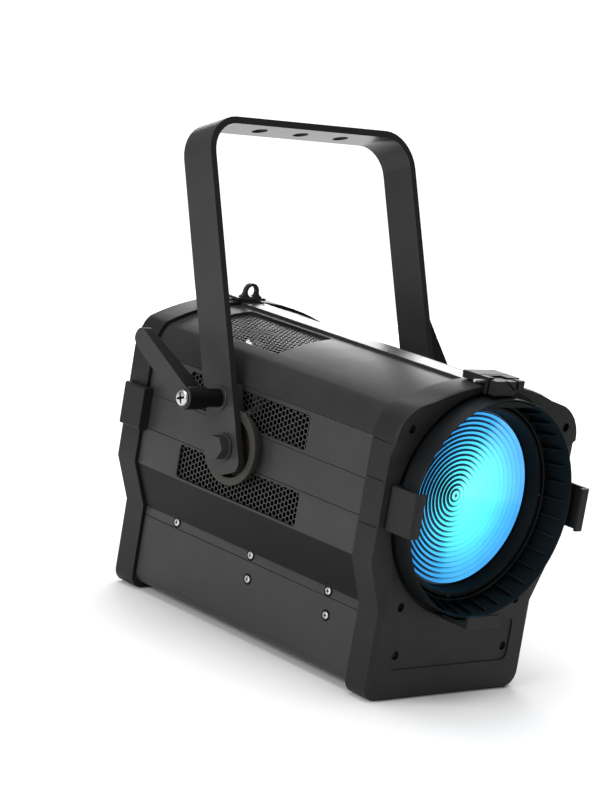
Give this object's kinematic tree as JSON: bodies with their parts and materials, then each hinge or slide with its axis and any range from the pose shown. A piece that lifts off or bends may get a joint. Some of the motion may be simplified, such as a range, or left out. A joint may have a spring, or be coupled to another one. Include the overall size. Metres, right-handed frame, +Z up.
{
  "type": "fresnel spotlight",
  "caption": "Compact stage fresnel spotlight: box head with round stepped lens, ribbed collar, colour-frame holders and vented sides, hung in a flat-bar yoke with tilt-lock levers.",
  "frame": {"origin": "centre of the bounding box's bottom face: the head stands level on its end castings, the yoke leaning back", "axes": "-Y is the way the light leaves, +Z is up, +X is to the right of someone facing the lens"},
  "size_m": [0.32, 0.375, 0.4238],
  "materials": {
    "paint": "satin charcoal powder coat",
    "casting_paint": "satin charcoal paint on castings",
    "black_plastic": "matte moulded nylon",
    "grille_paint": "matte black perforated sheet",
    "zinc_steel": "bright zinc plating",
    "black_steel": "black oxide",
    "aluminium": "plain",
    "lens_glass": "clear, with stepped rings, lit pale blue",
    "circuit_board": "green solder resist",
    "screen": "dark glossy window",
    "button_rubber": "soft matte"
  },
  "bodies": {
    "head": {"front_bezel": "casting_paint", "rear_frame": "casting_paint", "base_tray": "paint", "left_lower_panel": "paint", "right_lower_panel": "paint", "left_side_rail": "paint", "right_side_rail": "paint", "left_upper_panel": "paint", "right_upper_panel": "paint", "left_top_cover": "paint", "right_top_cover": "paint", "top_spine": "paint", "left_side_grille": "grille_paint", "right_side_grille": "grille_paint", "top_grille": "grille_paint", "fin_ring": "black_plastic", "lens_ring": "black_plastic", "fresnel_lens": "lens_glass", "left_accessory_holder": "paint", "right_accessory_holder": "paint", "bottom_accessory_holder": "paint", "latch_base": "paint", "latch_pin": "zinc_steel", "safety_eye": "black_steel", "rear_panel": "paint", "fan_frame": "black_plastic", "fan_guard": "black_steel", "data_in_socket": "black_steel", "data_out_socket": "black_steel", "power_in_socket": "black_plastic", "power_out_socket": "black_plastic", "display_window": "screen", "rear_bulkhead": "aluminium", "left_guide_rod": "zinc_steel", "right_guide_rod": "zinc_steel", "zoom_motor": "black_steel", "power_supply": "aluminium", "driver_board": "circuit_board", "left_pivot_cup": "casting_paint", "right_pivot_cup": "casting_paint", "left_pivot_bolt": "black_steel", "right_pivot_bolt": "black_steel", "left_pivot_washer": "zinc_steel", "right_pivot_washer": "zinc_steel"},
    "yoke": {"yoke_bracket": "paint"},
    "left_stud": {"left_lock_stud": "zinc_steel"},
    "right_stud": {"right_lock_stud": "zinc_steel"},
    "left_handle": {"left_lock_lever": "black_plastic"},
    "right_handle": {"right_lock_lever": "black_plastic"},
    "left_shoe": {"left_lock_shoe": "black_steel"},
    "right_shoe": {"right_lock_shoe": "black_steel"},
    "gate": {"latch_gate": "paint"},
    "carriage": {"led_engine": "aluminium", "heat_sink": "aluminium"},
    "screw": {"zoom_screw": "zinc_steel"},
    "fan": {"fan_rotor": "black_plastic"},
    "button_1": {"menu_button_1": "button_rubber"},
    "button_2": {"menu_button_2": "button_rubber"},
    "button_3": {"menu_button_3": "button_rubber"},
    "button_4": {"menu_button_4": "button_rubber"}
  },
  "joints": [
    {"name": "yoke_tilt", "type": "hinge", "parent": "head", "child": "yoke", "pos_m": [0, 0.0215, 0.162], "axis": [1, 0, 0], "range_deg": [-90, 110]},
    {"name": "left_lock_turn", "type": "hinge", "parent": "yoke", "child": "left_stud", "pos_m": [0, 0.03654, 0.1996], "axis": [1, 0, 0], "range_deg": [-120, 0]},
    {"name": "right_lock_turn", "type": "hinge", "parent": "yoke", "child": "right_stud", "pos_m": [0, 0.03654, 0.1996], "axis": [1, 0, 0], "range_deg": [0, 120]},
    {"name": "left_handle_lift", "type": "slide", "parent": "left_stud", "child": "left_handle", "axis": [-1, 0, 0], "range_m": [0, 0.0035], "stiffness_N_per_m": 900, "springref_m": -0.002},
    {"name": "right_handle_lift", "type": "slide", "parent": "right_stud", "child": "right_handle", "axis": [1, 0, 0], "range_m": [0, 0.0035], "stiffness_N_per_m": 900, "springref_m": -0.002},
    {"name": "left_shoe_slide", "type": "slide", "parent": "yoke", "child": "left_shoe", "axis": [1, 0, 0], "range_m": [-0.00002, 0.0005]},
    {"name": "right_shoe_slide", "type": "slide", "parent": "yoke", "child": "right_shoe", "axis": [-1, 0, 0], "range_m": [-0.00002, 0.0005]},
    {"name": "gate_hinge", "type": "hinge", "parent": "head", "child": "gate", "pos_m": [0, -0.1585, 0.2626], "axis": [1, 0, 0], "range_deg": [-80, 0], "stiffness_Nm_per_rad": 0.06, "springref_deg": 22.92},
    {"name": "zoom_slide", "type": "slide", "parent": "head", "child": "carriage", "axis": [0, 1, 0], "range_m": [-0.085, 0.045]},
    {"name": "zoom_screw_turn", "type": "hinge", "parent": "head", "child": "screw", "pos_m": [0, 0, 0.111], "axis": [0, 1, 0], "continuous": true},
    {"name": "fan_spin", "type": "hinge", "parent": "head", "child": "fan", "pos_m": [0, 0.153, 0.19], "axis": [0, 1, 0], "continuous": true},
    {"name": "button_1_press", "type": "slide", "parent": "head", "child": "button_1", "axis": [0, -1, 0], "range_m": [0, 0.0012], "stiffness_N_per_m": 500, "springref_m": -0.0006},
    {"name": "button_2_press", "type": "slide", "parent": "head", "child": "button_2", "axis": [0, -1, 0], "range_m": [0, 0.0012], "stiffness_N_per_m": 500, "springref_m": -0.0006},
    {"name": "button_3_press", "type": "slide", "parent": "head", "child": "button_3", "axis": [0, -1, 0], "range_m": [0, 0.0012], "stiffness_N_per_m": 500, "springref_m": -0.0006},
    {"name": "button_4_press", "type": "slide", "parent": "head", "child": "button_4", "axis": [0, -1, 0], "range_m": [0, 0.0012], "stiffness_N_per_m": 500, "springref_m": -0.0006}
  ],
  "couplings": [
    {"joint": "left_shoe_slide", "follows": "left_lock_turn", "m_per_rad": -0.00019894},
    {"joint": "right_shoe_slide", "follows": "right_lock_turn", "m_per_rad": 0.00019894},
    {"joint": "zoom_screw_turn", "follows": "zoom_slide", "rad_per_m": 785.4}
  ]
}
